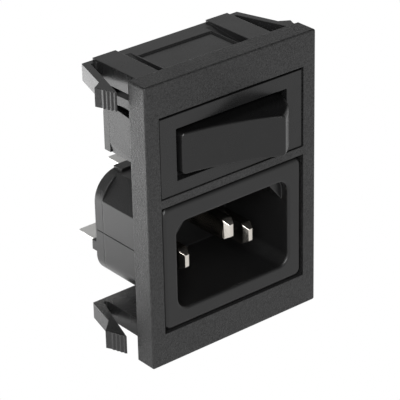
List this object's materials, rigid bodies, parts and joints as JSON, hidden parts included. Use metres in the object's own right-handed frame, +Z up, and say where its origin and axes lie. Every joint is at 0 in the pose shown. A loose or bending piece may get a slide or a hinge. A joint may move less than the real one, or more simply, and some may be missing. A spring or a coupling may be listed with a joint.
{
  "type": "c14 panel inlet socket",
  "caption": "Snap-in panel power module: C14 appliance inlet with three contact pins below a rocker mains switch, in one black moulded frame with sprung side latches.",
  "frame": {"origin": "on the panel seat, the rear face of the flange, at the middle of the bar between the two windows", "axes": "+X right and +Z up as seen by the user in front of the panel, +Y into the equipment; the rocker and the inlet mouth face -Y"},
  "size_m": [0.0414, 0.0366, 0.0511],
  "materials": {
    "frame_plastic": "fine moulded texture, black",
    "switch_plastic": "smooth satin, black",
    "rocker_plastic": "smooth satin, black",
    "inlet_plastic": "smooth satin, black",
    "plunger_nylon": "natural nylon",
    "spring_steel": "drawn wire",
    "contact_copper": "silvered copper alloy",
    "plated_pin": "nickel-plated brass, satin",
    "plated_tab": "tin-plated brass, satin"
  },
  "bodies": {
    "module": {"panel_frame": "frame_plastic", "switch_housing": "switch_plastic", "switch_base": "switch_plastic", "fixed_terminal_upper": "plated_tab", "fixed_terminal_lower": "plated_tab", "pivot_terminal_upper": "plated_tab", "pivot_terminal_lower": "plated_tab", "inlet_shroud": "inlet_plastic", "inlet_rear_cover": "inlet_plastic", "line_pin": "plated_pin", "neutral_pin": "plated_pin", "earth_pin": "plated_pin", "line_terminal": "plated_tab", "neutral_terminal": "plated_tab", "earth_terminal": "plated_tab"},
    "rocker": {"rocker": "rocker_plastic", "plunger_spring_upper": "spring_steel", "plunger_spring_lower": "spring_steel"},
    "plunger_upper": {"plunger_upper": "plunger_nylon"},
    "plunger_lower": {"plunger_lower": "plunger_nylon"},
    "contact_upper": {"moving_contact_upper": "contact_copper"},
    "contact_lower": {"moving_contact_lower": "contact_copper"}
  },
  "joints": [
    {"name": "rocker_tilt", "type": "hinge", "parent": "module", "child": "rocker", "pos_m": [0, -0.00016, 0.00775], "axis": [0, 0, 1], "range_deg": [0, 38]},
    {"name": "contact_upper_tip", "type": "hinge", "parent": "module", "child": "contact_upper", "pos_m": [0, 0.00551, 0.00924], "axis": [0, 0, 1], "range_deg": [-12.1, 0]},
    {"name": "contact_lower_tip", "type": "hinge", "parent": "module", "child": "contact_lower", "pos_m": [0, 0.00551, 0.00624], "axis": [0, 0, 1], "range_deg": [-12.1, 0]},
    {"name": "plunger_upper_slide", "type": "slide", "parent": "rocker", "child": "plunger_upper", "axis": [-0.3256, -0.9455, 0], "range_m": [0, 0.0009], "stiffness_N_per_m": 400, "springref_m": -0.001, "deforming": ["plunger_spring_upper"]},
    {"name": "plunger_lower_slide", "type": "slide", "parent": "rocker", "child": "plunger_lower", "axis": [-0.3256, -0.9455, 0], "range_m": [0, 0.0009], "stiffness_N_per_m": 400, "springref_m": -0.001, "deforming": ["plunger_spring_lower"]}
  ],
  "couplings": [
    {"joint": "contact_upper_tip", "follows": "rocker_tilt", "ratio": -0.31579},
    {"joint": "contact_lower_tip", "follows": "rocker_tilt", "ratio": -0.31579}
  ]
}
